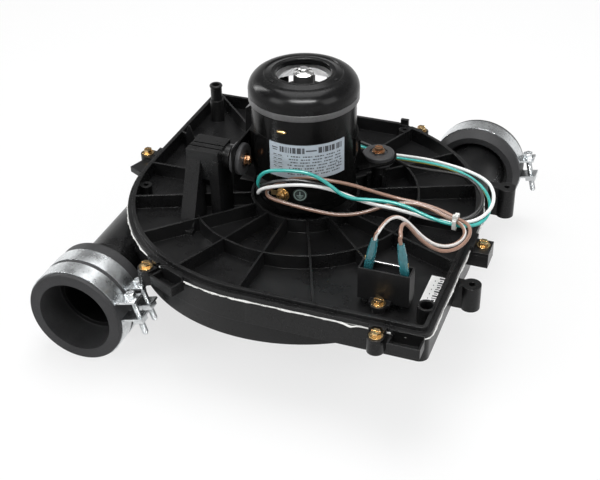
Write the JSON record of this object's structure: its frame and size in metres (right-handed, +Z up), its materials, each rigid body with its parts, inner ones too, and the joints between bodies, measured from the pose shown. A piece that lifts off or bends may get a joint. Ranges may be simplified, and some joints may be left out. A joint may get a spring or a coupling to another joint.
{
  "type": "combustion fan",
  "caption": "Combustion exhaust fan with a flat round plastic casing, tangential pipe outlets with clamped rubber sleeves, an upright open motor on rubber mounts, a capacitor and wiring.",
  "frame": {"origin": "motor shaft axis at the underside of the round drum, in the plane of the inlet's outer face", "axes": "+Z up along the shaft, +X towards the right pipe outlet's side, +Y to the back; the left outlet opens towards -Y and the right outlet towards +Y"},
  "size_m": [0.3373, 0.3195, 0.2004],
  "materials": {
    "black_plastic": "satin, fine mould grain",
    "sealant": "matte",
    "grey_rubber": "matte",
    "yellow_zinc": "yellow zinc plated",
    "dark_rubber": "matte",
    "band_steel": "bright",
    "black_steel": "black paint",
    "lamination": "varnished",
    "copper_coil": "varnished copper",
    "grey_steel": "plain",
    "zinc_steel": "clear zinc plated",
    "gloss_black": "gloss black",
    "label": "printed film",
    "brass": "plain",
    "label2": "printed paper",
    "resin": "matte",
    "teal_sleeve": "translucent",
    "wheel_plastic": "satin",
    "wire_green": "wire insulation",
    "wire_white": "wire insulation",
    "wire_black": "wire insulation",
    "wire_brown": "wire insulation",
    "wire_brown_white": "wire insulation",
    "white_plastic": "matte"
  },
  "bodies": {
    "casing": {"lower_housing": "black_plastic", "cover": "black_plastic", "housing_seal": "sealant", "shaft_seal": "grey_rubber", "cover_screws": "yellow_zinc", "inlet_gasket": "dark_rubber", "left_coupling": "dark_rubber", "left_clamp_bands": "band_steel", "left_clamp_screws": "band_steel", "left_clamp_nuts": "band_steel", "right_coupling": "dark_rubber", "right_clamp_band": "band_steel", "right_clamp_screw": "band_steel", "right_clamp_nut": "band_steel", "lower_end_bell": "black_steel", "motor_can": "black_steel", "wire_bushing": "dark_rubber", "stator_core": "lamination", "windings": "copper_coil", "upper_spider": "grey_steel", "through_bolts": "zinc_steel", "dome_struts": "grey_steel", "dome_ring": "grey_steel", "dome_cap": "gloss_black", "lower_bearing": "grey_steel", "upper_bearing": "grey_steel", "motor_label": "label", "ground_screw": "yellow_zinc", "ground_terminal": "brass", "ground_disc": "label2", "motor_bracket": "black_steel", "mount_grommets": "grey_rubber", "mount_sleeves": "zinc_steel", "mount_screws": "yellow_zinc", "capacitor_case": "black_plastic", "capacitor_fill": "resin", "capacitor_screw": "yellow_zinc", "capacitor_terminals": "brass", "terminal_sleeves": "teal_sleeve", "part_label": "label2", "wire_green": "wire_green", "wire_white": "wire_white", "wire_black": "wire_black", "wire_brown": "wire_brown", "wire_brown_white": "wire_brown_white", "wire_tie": "white_plastic", "harness_plug": "white_plastic"},
    "rotor": {"motor_shaft": "zinc_steel", "rotor_core": "grey_steel", "cooling_fan": "black_steel", "push_nut": "zinc_steel", "impeller": "wheel_plastic", "impeller_hub": "zinc_steel", "hub_set_screw": "zinc_steel"}
  },
  "joints": [
    {"name": "shaft_spin", "type": "hinge", "parent": "casing", "child": "rotor", "pos_m": [0, 0, 0.057], "axis": [0, 0, 1], "continuous": true}
  ]
}
